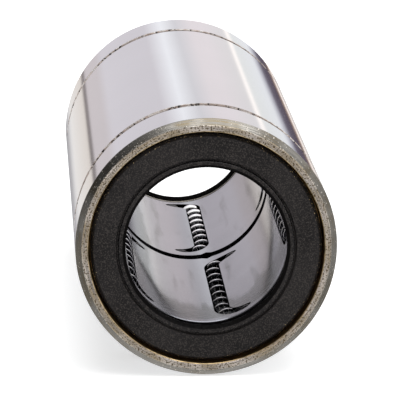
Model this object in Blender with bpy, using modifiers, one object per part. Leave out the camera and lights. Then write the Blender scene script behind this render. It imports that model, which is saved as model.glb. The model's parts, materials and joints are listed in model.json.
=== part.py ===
"""Long closed linear ball bushing, 20 mm shaft, 32 mm housing, 80 mm long.

It lies with its axis along Y, its front face at -Y and its origin at the centre of the bore.
A hardened sleeve holds two identical retainers, one at each end and the rear one turned end for end.
Each retainer carries five closed ball circuits: a loaded row that touches the shaft, a return row
further out in the wall, and a turn at either end that joins them. Side rings and wiper seals close
both ends. The balls of a row or a turn are joined by thin necks, so that they move as one piece.
"""

import math

import bmesh
import bpy
from mathutils import Matrix, Vector

MM = 0.001

# Standard sizes of the long closed bushing for a 20 mm shaft.
SHAFT_RADIUS = 10.0 * MM
SLEEVE_RADIUS = 16.0 * MM
SLEEVE_LENGTH = 80.0 * MM
RING_GROOVE_SPAN = 61.0 * MM
RING_GROOVE_WIDTH = 1.6 * MM
RING_GROOVE_RADIUS = 15.25 * MM
BALL_DIAMETER = 3.175 * MM
CIRCUITS = 5

# Sleeve.
SLEEVE_CHAMFER = 0.8 * MM
COUNTERBORE_RADIUS = 14.4 * MM
COUNTERBORE_DEPTH = 3.0 * MM
SHOULDER_WIDTH = 0.7 * MM
RACEWAY_RADIUS = SHAFT_RADIUS + BALL_DIAMETER + 0.075 * MM
RECESS_RADIUS = 14.5 * MM
RETURN_GROOVE_CLEARANCE = 0.11 * MM

# Ball circuit. It lies in the flat plane through its loaded and its return row.
LOADED_ROW_RADIUS = SHAFT_RADIUS + BALL_DIAMETER / 2
RETURN_ROW_RADIUS = 12.8 * MM
ROW_ANGLE = math.radians(30.0)
BALL_PITCH = 3.35 * MM
ROW_BALLS = 7
TURN_BALLS = 3
FIRST_LOADED_ROW_ANGLE = math.radians(-76.05)
RETAINER_FLIP_ANGLE = math.radians(-77.65)
SOLID_BALL_RADIUS = BALL_DIAMETER / 2 - 0.0375 * MM
NECK_RADIUS = 0.3 * MM

# Retainer. Its ends and the centre of its circuits are measured from the seam between the retainers,
# and both retainers have floated this far towards the rear.
RETAINER_INNER_RADIUS = 10.25 * MM
RETAINER_OUTER_RADIUS = 12.9 * MM
RETAINER_INNER_END = 1.1 * MM
RETAINER_OUTER_END = 36.1 * MM
CIRCUIT_CENTRE = 19.0 * MM
RETAINER_FLOAT = 0.7 * MM
RETAINER_CHAMFER = 0.1 * MM
CHANNEL_RADIUS = BALL_DIAMETER / 2 + 0.1325 * MM
INDEX_NOTCH_DEPTH = 0.8 * MM

# Side ring, seal and the steel core behind the seal, measured inwards from the end face.
SIDE_RING_RADII = (10.6 * MM, 14.1 * MM)
SIDE_RING_DEPTHS = (2.3 * MM, 2.9 * MM)
SEAL_OUTER_RADIUS = 14.1 * MM
SEAL_DEPTHS = (0.5 * MM, 1.4 * MM)
SEAL_LIP_RADIUS = 9.87 * MM
SEAL_GROOVE_RADII = (10.7 * MM, 11.05 * MM)
SEAL_GROOVE_DEPTH = 0.45 * MM
SEAL_EDGE_BEVEL = 0.3 * MM
SEAL_LIP_FLARE = 0.4 * MM
CORE_RADII = (10.4 * MM, 14.1 * MM)
CORE_DEPTHS = (1.5 * MM, 2.0 * MM)

# Numbers of flat sides on round shapes.
BODY_SIDES = 40
LOADED_BALL_SIDES = 6
LOADED_BALL_RINGS = 3
HIDDEN_BALL_SIDES = 4
HIDDEN_BALL_RINGS = 2
CHANNEL_SIDES = 8
TURN_STEPS = 6

HALF_LENGTH = SLEEVE_LENGTH / 2
RETAINER_HALF_LENGTH = (RETAINER_OUTER_END - RETAINER_INNER_END) / 2
RETAINER_OFFSET = CIRCUIT_CENTRE - (RETAINER_OUTER_END + RETAINER_INNER_END) / 2
MERGE = 0.001 * MM


def row_spacing():
    """Distance between the loaded and the return row of one circuit."""
    a, b = LOADED_ROW_RADIUS, RETURN_ROW_RADIUS
    return math.sqrt(a * a + b * b - 2 * a * b * math.cos(ROW_ANGLE))


TURN_RADIUS = row_spacing() / 2
TURN_BALL_STEP = math.pi / TURN_BALLS
STRAIGHT_HALF = (ROW_BALLS + 1) / 2 * BALL_PITCH - TURN_RADIUS * TURN_BALL_STEP / 2


def clear_scene():
    for item in list(bpy.data.objects):
        bpy.data.objects.remove(item, do_unlink=True)


def make_collection(name):
    collection = bpy.data.collections.new(name)
    bpy.context.scene.collection.children.link(collection)
    return collection


def make_material(name, colour, roughness, metallic):
    material = bpy.data.materials.new(name)
    material.use_nodes = True
    shader = material.node_tree.nodes["Principled BSDF"]
    shader.inputs["Base Color"].default_value = (*colour, 1.0)
    shader.inputs["Roughness"].default_value = roughness
    shader.inputs["Metallic"].default_value = metallic
    material.diffuse_color = (*colour, 1.0)
    return material


def add_object(name, mesh, collection, material=None):
    item = bpy.data.objects.new(name, mesh)
    collection.objects.link(item)
    if material:
        if not mesh.materials:
            mesh.materials.append(material)
    return item


def outline_mesh(name, outline, closed=True):
    """A line of (radius, y) points as a mesh of edges in the XY plane."""
    mesh = bpy.data.meshes.new(name)
    edges = [(i, i + 1) for i in range(len(outline) - 1)]
    if closed:
        edges.append((len(outline) - 1, 0))
    mesh.from_pydata([(radius, y, 0.0) for radius, y in outline], edges, [])
    return mesh


def turn_round_y(item, sides):
    screw = item.modifiers.new("turned", "SCREW")
    screw.axis = "Y"
    screw.steps = sides
    screw.render_steps = sides
    screw.use_merge_vertices = True
    screw.merge_threshold = MERGE
    screw.use_smooth_shade = True
    return screw


def mesh_of_evaluated(item, name):
    """The object's evaluated shape as a new mesh, welded, with its faces turned outwards."""
    graph = bpy.context.evaluated_depsgraph_get()
    mesh = bpy.data.meshes.new_from_object(item.evaluated_get(graph))
    mesh.name = name
    edit = bmesh.new()
    edit.from_mesh(mesh)
    bmesh.ops.remove_doubles(edit, verts=edit.verts, dist=MERGE)
    bmesh.ops.recalc_face_normals(edit, faces=edit.faces)
    edit.to_mesh(mesh)
    edit.free()
    return mesh


def finish_round(mesh):
    mesh.shade_smooth()
    mesh.set_sharp_from_angle(angle=math.radians(35))


def turned_mesh(name, outline, sides, closed=True):
    """A turned solid. The outline runs down its outer side, from +Y to -Y, and back up its inner side."""
    helper = bpy.data.objects.new(name + " outline", outline_mesh(name, outline, closed))
    bpy.context.scene.collection.objects.link(helper)
    turn_round_y(helper, sides)
    mesh = mesh_of_evaluated(helper, name)
    bpy.data.objects.remove(helper, do_unlink=True)
    finish_round(mesh)
    return mesh


def cut(item, cutter, name):
    boolean = item.modifiers.new(name, "BOOLEAN")
    boolean.operation = "DIFFERENCE"
    boolean.solver = "EXACT"
    boolean.object = cutter


def make_cutter(name, mesh, collection):
    cutter = bpy.data.objects.new(name, mesh)
    cutter.display_type = "WIRE"
    cutter.hide_render = True
    collection.objects.link(cutter)
    return cutter


def place_under(item, parent, location, turn=0.0):
    """Parents the object and places it in its parent's frame, turned about the parent's Z axis."""
    item.parent = parent
    item.location = location
    item.rotation_euler = (0.0, 0.0, turn)


def sleeve_outline():
    """The sleeve's section: end chamfers and two ring grooves outside, race and recesses inside."""
    flat = SLEEVE_RADIUS - SLEEVE_CHAMFER
    groove_out = RING_GROOVE_SPAN / 2
    groove_in = groove_out - RING_GROOVE_WIDTH
    counterbore = HALF_LENGTH - COUNTERBORE_DEPTH
    shoulder = counterbore - SHOULDER_WIDTH
    land_out = CIRCUIT_CENTRE - RETAINER_FLOAT + STRAIGHT_HALF - 0.4 * MM
    land_in = CIRCUIT_CENTRE + RETAINER_FLOAT - STRAIGHT_HALF + 0.4 * MM
    outer = [
        (flat, HALF_LENGTH),
        (SLEEVE_RADIUS, HALF_LENGTH - SLEEVE_CHAMFER),
        (SLEEVE_RADIUS, groove_out),
        (RING_GROOVE_RADIUS, groove_out),
        (RING_GROOVE_RADIUS, groove_in),
        (SLEEVE_RADIUS, groove_in),
    ]
    inner = [
        (COUNTERBORE_RADIUS, HALF_LENGTH),
        (COUNTERBORE_RADIUS, counterbore),
        (RACEWAY_RADIUS, counterbore),
        (RACEWAY_RADIUS, shoulder),
        (RECESS_RADIUS, shoulder),
        (RECESS_RADIUS, land_out),
        (RACEWAY_RADIUS, land_out),
        (RACEWAY_RADIUS, land_in),
        (RECESS_RADIUS, land_in),
    ]
    return outer + mirrored(outer) + inner_reversed(inner)


def mirrored(points):
    """The same points reflected to the other end, in reverse order."""
    return [(radius, -y) for radius, y in reversed(points)]


def inner_reversed(points):
    """The inner side runs back from the -Y end to the +Y end."""
    return [(radius, -y) for radius, y in points] + list(reversed(points))


def retainer_outline():
    """A plain tube with small chamfers, on its own centre."""
    half = RETAINER_HALF_LENGTH
    bevel = RETAINER_CHAMFER
    outer = [
        (RETAINER_OUTER_RADIUS - bevel, half),
        (RETAINER_OUTER_RADIUS, half - bevel),
    ]
    inner = [(RETAINER_INNER_RADIUS + bevel, half), (RETAINER_INNER_RADIUS, half - bevel)]
    return outer + mirrored(outer) + inner_reversed(inner)


def ring_outline(radii, depths):
    """A plain ring at the +Y end, between two radii and two depths below the end face."""
    inner, outer = radii
    top, bottom = (HALF_LENGTH - depth for depth in depths)
    return [(outer, top), (outer, bottom), (inner, bottom), (inner, top)]


def seal_outline():
    """The wiper: a bevelled face, a fine ring groove, and a lip that narrows to a small land."""
    face = HALF_LENGTH - SEAL_DEPTHS[0]
    back = HALF_LENGTH - SEAL_DEPTHS[1]
    groove_in, groove_out = SEAL_GROOVE_RADII
    flare = SEAL_LIP_RADIUS + SEAL_LIP_FLARE
    return [
        (SEAL_OUTER_RADIUS - SEAL_EDGE_BEVEL, face),
        (SEAL_OUTER_RADIUS, face - SEAL_EDGE_BEVEL),
        (SEAL_OUTER_RADIUS, back),
        (flare, back),
        (SEAL_LIP_RADIUS, face - 0.75 * MM),
        (SEAL_LIP_RADIUS, face - 0.45 * MM),
        (flare, face),
        (groove_in, face),
        (groove_in + 0.1 * MM, face - SEAL_GROOVE_DEPTH),
        (groove_out - 0.1 * MM, face - SEAL_GROOVE_DEPTH),
        (groove_out, face),
    ]


def channel_curve():
    """The round ball channel of one circuit: two straight sides joined by two half-turns."""
    curve = bpy.data.curves.new("ball channel", "CURVE")
    curve.dimensions = "3D"
    curve.bevel_depth = CHANNEL_RADIUS / math.cos(math.pi / CHANNEL_SIDES)
    curve.bevel_resolution = CHANNEL_SIDES // 2 - 2
    spline = curve.splines.new("POLY")
    spline.use_cyclic_u = True
    reach = TURN_RADIUS * (1 + 1 / math.cos(math.pi / TURN_STEPS / 2)) / 2
    spline.points.add(2 * TURN_STEPS - 1)
    for step, point in enumerate(spline.points):
        angle = (step + 0.5) * math.pi / TURN_STEPS
        shift = STRAIGHT_HALF if step < TURN_STEPS else -STRAIGHT_HALF
        point.co = (reach * math.cos(angle), reach * math.sin(angle) + shift, 0.0, 1.0)
    return curve


def curve_mesh(curve):
    helper = bpy.data.objects.new(curve.name, curve)
    bpy.context.scene.collection.objects.link(helper)
    mesh = mesh_of_evaluated(helper, curve.name)
    bpy.data.objects.remove(helper, do_unlink=True)
    return mesh


def row_centres(count):
    """Where the balls of a straight row lie along Y, from the +Y end."""
    return [((count - 1) / 2 - ball) * BALL_PITCH for ball in range(count)]


def ball_row_mesh(name, count, sides, rings):
    """A straight row of balls along Y on one thin neck, turned as a single scalloped profile.

    Each ball has this many rings of corners between its ends.
    """
    neck_angle = math.asin(NECK_RADIUS / SOLID_BALL_RADIUS)
    centres = row_centres(count)
    outline = [(0.0, centres[0] + SOLID_BALL_RADIUS)]
    for centre in centres:
        arc = [(ring + 1) * math.pi / (rings + 1) for ring in range(rings)]
        if centre < centres[0]:
            arc.insert(0, neck_angle)
        if centre > centres[-1]:
            arc.append(math.pi - neck_angle)
        for angle in arc:
            radius = SOLID_BALL_RADIUS * math.sin(angle)
            outline.append((radius, centre + SOLID_BALL_RADIUS * math.cos(angle)))
    outline.append((0.0, centres[-1] - SOLID_BALL_RADIUS))
    return turned_mesh(name, outline, sides, closed=False)


def ball_turn_mesh(name):
    """The balls of one end turn: a short row whose balls are each moved whole onto the half-circle.

    The origin is the centre of the turn, and the turn bulges towards +Y.
    """
    mesh = ball_row_mesh(name, TURN_BALLS, HIDDEN_BALL_SIDES, HIDDEN_BALL_RINGS)
    centres = row_centres(TURN_BALLS)
    onto_turn = []
    for ball, centre in enumerate(centres):
        angle = math.pi - (ball + 0.5) * TURN_BALL_STEP
        out = Matrix.Translation((TURN_RADIUS, -centre, 0.0))
        onto_turn.append(Matrix.Rotation(angle, 4, "Z") @ out)
    for vertex in mesh.vertices:
        ball = round((centres[0] - vertex.co.y) / BALL_PITCH)
        vertex.co = onto_turn[min(max(ball, 0), TURN_BALLS - 1)] @ vertex.co
    mesh.update()
    return mesh


def retainer_frame(name, flipped, collection):
    """An empty at the centre of one retainer's circuits. The rear one is the front one turned end for end."""
    frame = bpy.data.objects.new(name, None)
    collection.objects.link(frame)
    frame.empty_display_size = 5 * MM
    place = Matrix.Translation((0.0, -CIRCUIT_CENTRE, 0.0))
    if flipped:
        radial = Vector((math.cos(RETAINER_FLIP_ANGLE), 0.0, math.sin(RETAINER_FLIP_ANGLE)))
        place = Matrix.Rotation(math.pi, 4, radial) @ place
    frame.matrix_world = Matrix.Translation((0.0, RETAINER_FLOAT, 0.0)) @ place
    return frame


def circuit_frame(name, number, parent, collection):
    """An empty at the centre of one ball circuit: X from loaded to return row, Y along the bushing."""
    angle = FIRST_LOADED_ROW_ANGLE + number * 2 * math.pi / CIRCUITS
    loaded = LOADED_ROW_RADIUS * Vector((math.cos(angle), 0.0, math.sin(angle)))
    beyond = angle + ROW_ANGLE
    returning = RETURN_ROW_RADIUS * Vector((math.cos(beyond), 0.0, math.sin(beyond)))
    across = (returning - loaded).normalized()
    along = Vector((0.0, 1.0, 0.0))
    turned = Matrix((across, along, across.cross(along))).transposed().to_4x4()
    frame = bpy.data.objects.new(name, None)
    collection.objects.link(frame)
    frame.empty_display_size = 3 * MM
    frame.parent = parent
    frame.matrix_local = Matrix.Translation((loaded + returning) / 2) @ turned
    return frame


def notch_mesh():
    """A wedge that cuts the V-shaped index notch, its point along +Y."""
    edit = bmesh.new()
    depth = INDEX_NOTCH_DEPTH
    bmesh.ops.create_cone(
        edit, cap_ends=True, segments=4, radius1=depth, radius2=depth, depth=8 * MM
    )
    mesh = bpy.data.meshes.new("index notch")
    edit.to_mesh(mesh)
    edit.free()
    return mesh


def groove_cutter_mesh():
    """A bar that cuts one return row's clearance along the sleeve's race."""
    edit = bmesh.new()
    radius = (BALL_DIAMETER / 2 + RETURN_GROOVE_CLEARANCE) / math.cos(math.pi / CHANNEL_SIDES)
    bmesh.ops.create_cone(
        edit,
        cap_ends=True,
        segments=CHANNEL_SIDES,
        radius1=radius,
        radius2=radius,
        depth=2 * STRAIGHT_HALF + 1 * MM,
        matrix=Matrix.Rotation(math.radians(90), 4, "X"),
    )
    mesh = bpy.data.meshes.new("return groove")
    edit.to_mesh(mesh)
    edit.free()
    return mesh


def make_materials():
    return {
        "sleeve": make_material("polished bearing steel", (0.64, 0.62, 0.64), 0.14, 1.0),
        "retainer": make_material("retainer steel", (0.50, 0.48, 0.50), 0.22, 1.0),
        "ball": make_material("ball steel", (0.72, 0.72, 0.74), 0.06, 1.0),
        "seal": make_material("seal rubber", (0.025, 0.025, 0.028), 0.55, 0.0),
        "ring": make_material("ring steel", (0.55, 0.53, 0.52), 0.30, 1.0),
    }


def make_meshes():
    """Shapes that are used more than once."""
    return {
        "loaded": ball_row_mesh("loaded ball row", ROW_BALLS, LOADED_BALL_SIDES, LOADED_BALL_RINGS),
        "return": ball_row_mesh("return ball row", ROW_BALLS, HIDDEN_BALL_SIDES, HIDDEN_BALL_RINGS),
        "turn": ball_turn_mesh("ball turn"),
        "channel": curve_mesh(channel_curve()),
        "groove": groove_cutter_mesh(),
        "notch": notch_mesh(),
        "retainer": turned_mesh("retainer", retainer_outline(), BODY_SIDES),
        "side ring": turned_mesh("side ring", ring_outline(SIDE_RING_RADII, SIDE_RING_DEPTHS), BODY_SIDES),
        "seal": turned_mesh("seal", seal_outline(), BODY_SIDES),
        "core": turned_mesh("seal core", ring_outline(CORE_RADII, CORE_DEPTHS), BODY_SIDES),
    }


def add_circuit(end, number, retainer, sleeve, frame, meshes, materials, parts, cutters):
    """One ball circuit: its channel in the retainer, its groove in the sleeve and its ball groups."""
    title = f"{end}_circuit_{number + 1}"
    centre = circuit_frame(title, number, frame, parts)
    channel = make_cutter(title + "_channel_cutter", meshes["channel"], cutters)
    place_under(channel, centre, (0.0, 0.0, 0.0))
    cut(retainer, channel, "ball channel")
    groove = make_cutter(title + "_groove_cutter", meshes["groove"], cutters)
    place_under(groove, centre, (TURN_RADIUS, 0.0, 0.0))
    cut(sleeve, groove, "return groove")
    groups = (
        ("loaded_balls", "loaded", (-TURN_RADIUS, 0.0, 0.0), 0.0),
        ("return_balls", "return", (TURN_RADIUS, 0.0, 0.0), 0.0),
        ("outer_turn_balls", "turn", (0.0, -STRAIGHT_HALF, 0.0), math.pi),
        ("inner_turn_balls", "turn", (0.0, STRAIGHT_HALF, 0.0), 0.0),
    )
    for label, mesh, location, turn in groups:
        group = add_object(f"{title}_{label}", meshes[mesh], parts, materials["ball"])
        place_under(group, centre, location, turn)


def add_end_rings(end, meshes, materials, parts):
    """The side ring, the seal and its core at one end. The shared meshes lie at the +Y end."""
    turn = 0.0 if end == "rear" else math.pi
    for label, mesh, material in (
        ("side_ring", "side ring", "ring"),
        ("seal", "seal", "seal"),
        ("seal_core", "core", "ring"),
    ):
        ring = add_object(f"{end}_{label}", meshes[mesh], parts, materials[material])
        ring.rotation_euler = (0.0, 0.0, turn)


def add_retainer(end, sleeve, meshes, materials, parts, cutters):
    frame = retainer_frame(f"{end}_retainer_frame", end == "rear", parts)
    mesh = meshes["retainer"]
    retainer = add_object(f"{end}_retainer", mesh, parts, materials["retainer"])
    place_under(retainer, frame, (0.0, RETAINER_OFFSET, 0.0))
    notch = make_cutter(f"{end}_notch_cutter", meshes["notch"], cutters)
    notch.parent = frame
    radial = Vector((math.cos(RETAINER_FLIP_ANGLE), 0.0, math.sin(RETAINER_FLIP_ANGLE)))
    seam = RETAINER_OFFSET + RETAINER_HALF_LENGTH
    middle = (RETAINER_INNER_RADIUS + RETAINER_OUTER_RADIUS) / 2
    upright = radial.to_track_quat("Z", "Y").to_matrix().to_4x4()
    notch.matrix_local = Matrix.Translation(middle * radial + Vector((0.0, seam, 0.0))) @ upright
    cut(retainer, notch, "index notch")
    for number in range(CIRCUITS):
        add_circuit(end, number, retainer, sleeve, frame, meshes, materials, parts, cutters)


def main():
    clear_scene()
    parts = make_collection("linear_ball_bushing")
    cutters = make_collection("cutters")
    materials = make_materials()
    meshes = make_meshes()
    sleeve_mesh = turned_mesh("sleeve", sleeve_outline(), BODY_SIDES)
    sleeve = add_object("outer_sleeve", sleeve_mesh, parts, materials["sleeve"])
    for end in ("front", "rear"):
        add_retainer(end, sleeve, meshes, materials, parts, cutters)
        add_end_rings(end, meshes, materials, parts)


main()
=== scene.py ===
"""Finished look of a long closed linear ball bushing, built around its packed frame.

The file is laid out as an add-on and run as a script. Each operator makes one piece, or one group
of like pieces, and the panel in the 3D view's sidebar lists them.
"""

import json
import math
from dataclasses import dataclass

import bmesh
import bpy
from bpy.props import FloatProperty, FloatVectorProperty, IntProperty, PointerProperty
from mathutils import Matrix, Vector


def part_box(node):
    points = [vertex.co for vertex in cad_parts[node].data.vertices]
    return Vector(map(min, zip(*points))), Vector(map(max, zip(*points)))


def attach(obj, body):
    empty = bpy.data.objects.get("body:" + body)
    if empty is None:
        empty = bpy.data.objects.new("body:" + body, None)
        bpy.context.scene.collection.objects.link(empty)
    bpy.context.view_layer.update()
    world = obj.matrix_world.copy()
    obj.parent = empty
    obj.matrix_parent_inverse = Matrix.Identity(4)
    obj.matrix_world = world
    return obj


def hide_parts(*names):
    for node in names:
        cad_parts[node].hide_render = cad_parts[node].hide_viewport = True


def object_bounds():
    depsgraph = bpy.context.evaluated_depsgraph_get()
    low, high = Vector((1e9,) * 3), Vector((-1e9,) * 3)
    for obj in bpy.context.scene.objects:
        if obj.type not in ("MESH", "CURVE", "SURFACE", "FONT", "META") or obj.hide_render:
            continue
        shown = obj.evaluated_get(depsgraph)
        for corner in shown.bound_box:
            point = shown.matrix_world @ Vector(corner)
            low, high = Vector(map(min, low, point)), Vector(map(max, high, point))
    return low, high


bl_info = {
    "name": "Linear ball bushing finish",
    "version": (1, 0, 0),
    "blender": (4, 5, 0),
    "location": "3D View > Sidebar > Bushing",
    "description": "Builds the ground, turned and moulded surfaces of a linear ball bushing",
    "category": "Mesh",
}

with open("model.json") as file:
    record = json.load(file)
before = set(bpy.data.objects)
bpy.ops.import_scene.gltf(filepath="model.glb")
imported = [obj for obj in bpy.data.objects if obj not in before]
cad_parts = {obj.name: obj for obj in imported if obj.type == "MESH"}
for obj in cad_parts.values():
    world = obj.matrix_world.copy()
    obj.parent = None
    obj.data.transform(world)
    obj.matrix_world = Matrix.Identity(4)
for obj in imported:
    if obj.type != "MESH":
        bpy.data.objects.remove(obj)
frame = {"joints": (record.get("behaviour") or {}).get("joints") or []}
CAD_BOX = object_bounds()

MM = 0.001
ENDS = ("front", "rear")
CIRCUIT_NUMBERS = (1, 2, 3, 4, 5)
BODY = "bushing_shell"
WELD = 0.0005 * MM


# ---------------------------------------------------------------- sizes read from the frame


def joint_named(name):
    return next(joint for joint in frame["joints"] if joint["name"] == name)


def sleeve_size():
    """Radius and half length of the sleeve."""
    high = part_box("outer_sleeve")[1]
    return high[0], high[1]


def turn_centres(end, number):
    """Centres of a circuit's inner and outer end turns."""
    joints = (joint_named(f"{end}_circuit_{number}_{turn}_turn") for turn in ("inner", "outer"))
    return [Vector(joint["pos_m"]) for joint in joints]


def circuit_matrix(end, number):
    """Place of one ball circuit: X from its loaded to its return row, Y along them."""
    inner, outer = turn_centres(end, number)
    along = (inner - outer).normalized()
    normal = Vector(joint_named(f"{end}_circuit_{number}_inner_turn")["axis"]).normalized()
    turned = Matrix((along.cross(normal), along, normal)).transposed().to_4x4()
    return Matrix.Translation((inner + outer) / 2) @ turned


def straight_half(end, number):
    """Half the distance between the centres of a circuit's two end turns."""
    inner, outer = turn_centres(end, number)
    return (inner - outer).length / 2


# ---------------------------------------------------------------- settings


def count_property(name, description, default):
    return IntProperty(name=name, description=description, default=default, min=1)


def length_property(name, description, default):
    return FloatProperty(name=name, description=description, default=default, unit="LENGTH")


def angle_property(name, description, degrees):
    return FloatProperty(
        name=name, description=description, default=math.radians(degrees), subtype="ANGLE"
    )


def colour_property(name, description, default):
    return FloatVectorProperty(
        name=name, description=description, default=default, subtype="COLOR"
    )


class SleeveSettings(bpy.types.PropertyGroup):
    """Sizes of the outer sleeve."""

    sides: count_property("Sides", "Flat sides round the sleeve", 240)
    chamfer: length_property("Chamfer", "Width of the end chamfers", 0.8 * MM)
    edge: length_property("Edge", "Radius left on turned edges", 0.1 * MM)
    groove_span: length_property(
        "Groove span", "Distance over the outer walls of the two ring grooves", 61.0 * MM
    )
    groove_width: length_property("Groove width", "Width of a ring groove", 1.6 * MM)
    groove_depth: length_property("Groove depth", "Depth of a ring groove", 0.75 * MM)
    counterbore: length_property("Counterbore", "Radius of the seal seat", 14.4 * MM)
    counterbore_depth: length_property("Counterbore depth", "Depth of the seal seat", 3.0 * MM)
    race: length_property("Race", "Radius of the ball race", 13.25 * MM)
    recess: length_property("Recess", "Radius of the recesses beside the race", 14.5 * MM)
    shoulder: length_property("Shoulder", "Width of the shoulder behind the seal seat", 0.7 * MM)


class RetainerSettings(bpy.types.PropertyGroup):
    """Sizes of the two slotted retainers."""

    sides: count_property("Sides", "Flat sides round a retainer", 180)
    rings: count_property("Rings", "Divisions along a retainer", 40)
    inner: length_property("Inner radius", "Radius of the bore", 10.25 * MM)
    outer: length_property("Outer radius", "Radius of the outside", 12.9 * MM)
    chamfer: length_property("Chamfer", "Chamfer of the ends", 0.1 * MM)
    notch: length_property("Index notch", "Depth of the V notch", 0.8 * MM)
    channel_clearance: length_property(
        "Channel clearance", "Space between a ball and its channel", 0.1325 * MM
    )


class BallSettings(bpy.types.PropertyGroup):
    """Sizes of the balls and of the track that they follow."""

    diameter: length_property("Diameter", "Ball diameter", 3.175 * MM)
    shaft: length_property("Shaft radius", "Radius of the shaft", 10.0 * MM)
    return_row: length_property(
        "Return row radius", "Distance of the return row from the axis", 12.8 * MM
    )
    row_angle: angle_property("Row angle", "Angle between loaded and return row", 30.0)
    pitch: length_property("Pitch", "Distance between balls in a row", 3.35 * MM)
    row_count: count_property("Row balls", "Balls in a straight row", 7)
    turn_count: count_property("Turn balls", "Balls in an end turn", 3)
    segments: count_property("Segments", "Divisions round a ball", 32)


class SealSettings(bpy.types.PropertyGroup):
    """Sizes of the rubber end seals, measured inwards from the end face."""

    sides: count_property("Sides", "Flat sides round a seal", 240)
    outer: length_property("Outer radius", "Radius of the seal", 14.15 * MM)
    lip: length_property("Lip radius", "Radius of the lip", 9.87 * MM)
    face: length_property("Face depth", "Depth of the seal's face", 0.5 * MM)
    back: length_property("Back depth", "Depth of the seal's back", 1.4 * MM)
    groove: length_property("Groove radius", "Radius of the fine groove", 10.88 * MM)


class RingSettings(bpy.types.PropertyGroup):
    """Sizes of the side rings and of the steel cores behind the seals."""

    sides: count_property("Sides", "Flat sides round a ring", 180)
    side_ring: length_property("Side ring bore", "Inner radius of a side ring", 10.6 * MM)
    seal_core: length_property("Seal core bore", "Inner radius of a seal core", 10.4 * MM)
    edge: length_property("Edge", "Radius left on edges", 0.08 * MM)


class FinishSettings(bpy.types.PropertyGroup):
    """Colours of the finishes."""

    sleeve: colour_property("Ground steel", "Sleeve colour", (0.60, 0.61, 0.62))
    rim: colour_property("Turned rim", "Rim colour", (0.80, 0.74, 0.66))
    chamfer: colour_property("Chamfer", "Chamfer colour", (0.31, 0.295, 0.27))
    groove: colour_property("Ring groove", "Groove colour", (0.62, 0.50, 0.44))
    retainer: colour_property("Retainer steel", "Retainer colour", (0.235, 0.237, 0.262))
    ball: colour_property("Ball steel", "Ball colour", (0.95, 0.95, 0.95))
    rubber: colour_property("Seal rubber", "Seal colour", (0.008, 0.007, 0.007))
    speck_colour: colour_property("Rubber bloom", "Specks on the rubber", (0.041, 0.035, 0.032))
    tarnish: colour_property("Tarnish", "Brown tone on turned faces", (0.50, 0.41, 0.27))
    seat: colour_property("Oiled seat", "Seal seat colour", (0.32, 0.20, 0.08))
    seat_edge: colour_property("Seat edge", "Seal seat edge colour", (0.70, 0.52, 0.28))


class StageSettings(bpy.types.PropertyGroup):
    """Camera, floor and light."""

    azimuth: angle_property("Azimuth", "Turn of the view to the right", 3.0132)
    elevation: angle_property("Elevation", "Angle of the view down", 11.7445)
    distance: length_property("Distance", "Camera to its aim", 418.2 * MM)
    aim: FloatVectorProperty(
        name="Aim",
        description="Point of the front end face that the camera is aimed at",
        default=(-0.826 * MM, -40.0 * MM, 6.053 * MM),
        subtype="TRANSLATION",
    )
    lens: FloatProperty(name="Lens", description="Focal length in millimetres", default=310.09)
    floor: colour_property("Floor", "Floor colour", (0.93, 0.93, 0.93))


# ---------------------------------------------------------------- mesh helpers


def new_object(name, mesh):
    item = bpy.data.objects.new(name, mesh)
    bpy.context.scene.collection.objects.link(item)
    return item


def mesh_of(edit, name):
    """The bmesh as a mesh; the bmesh is freed."""
    mesh = bpy.data.meshes.new(name)
    edit.to_mesh(mesh)
    edit.free()
    return mesh


def take_evaluated(item, name):
    """The object's evaluated shape as a new welded mesh; the object is removed."""
    graph = bpy.context.evaluated_depsgraph_get()
    mesh = bpy.data.meshes.new_from_object(item.evaluated_get(graph))
    mesh.name = name
    bpy.data.objects.remove(item, do_unlink=True)
    edit = bmesh.new()
    edit.from_mesh(mesh)
    bmesh.ops.remove_doubles(edit, verts=edit.verts, dist=WELD)
    bmesh.ops.recalc_face_normals(edit, faces=edit.faces)
    edit.to_mesh(mesh)
    edit.free()
    return mesh


def rounded_outline(corners, steps=4):
    """A closed outline of (radius, y, corner radius) points with its corners turned into arcs."""
    points = []
    count = len(corners)
    for index, (radius, y, fillet) in enumerate(corners):
        corner = Vector((radius, y))
        if fillet == 0:
            points.append(corner)
            continue
        before = (Vector(corners[index - 1][:2]) - corner).normalized()
        after = (Vector(corners[(index + 1) % count][:2]) - corner).normalized()
        half = before.angle(after) / 2
        reach = fillet / math.tan(half)
        centre = corner + (before + after).normalized() * (fillet / math.sin(half))
        start = corner + before * reach - centre
        end = corner + after * reach - centre
        sweep = start.angle_signed(end)
        for step in range(steps + 1):
            turn = Matrix.Rotation(-sweep * step / steps, 2)
            points.append(centre + turn @ start)
    return points


def turned_mesh(name, corners, sides):
    """A turned solid. Its outline runs down the outer side, from +Y to -Y, and up the inner."""
    outline = rounded_outline(corners)
    line = bpy.data.meshes.new(name + " outline")
    edges = [(i, (i + 1) % len(outline)) for i in range(len(outline))]
    line.from_pydata([(point.x, point.y, 0.0) for point in outline], edges, [])
    item = new_object(name + " outline", line)
    screw = item.modifiers.new("turned", "SCREW")
    screw.axis = "Y"
    screw.steps = screw.render_steps = sides
    screw.use_merge_vertices = True
    screw.merge_threshold = WELD
    return take_evaluated(item, name)


def smooth(mesh, degrees=30):
    mesh.shade_smooth()
    mesh.set_sharp_from_angle(angle=math.radians(degrees))


def even_normals(piece):
    """Lets the large faces set the normals, so that only the small edge radii look curved."""
    weighted = piece.modifiers.new("even normals", "WEIGHTED_NORMAL")
    weighted.mode = "FACE_AREA"
    weighted.weight = 100
    weighted.keep_sharp = True


def paint(mesh, finishes, choose):
    """Gives the mesh the named finishes, and each face the one that choose(face) names."""
    for name in finishes:
        mesh.materials.append(finish_named(name))
    for face in mesh.polygons:
        face.material_index = finishes.index(choose(face))


def radius_of(point):
    return math.hypot(point.x, point.z)


# ---------------------------------------------------------------- shader helpers


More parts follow.
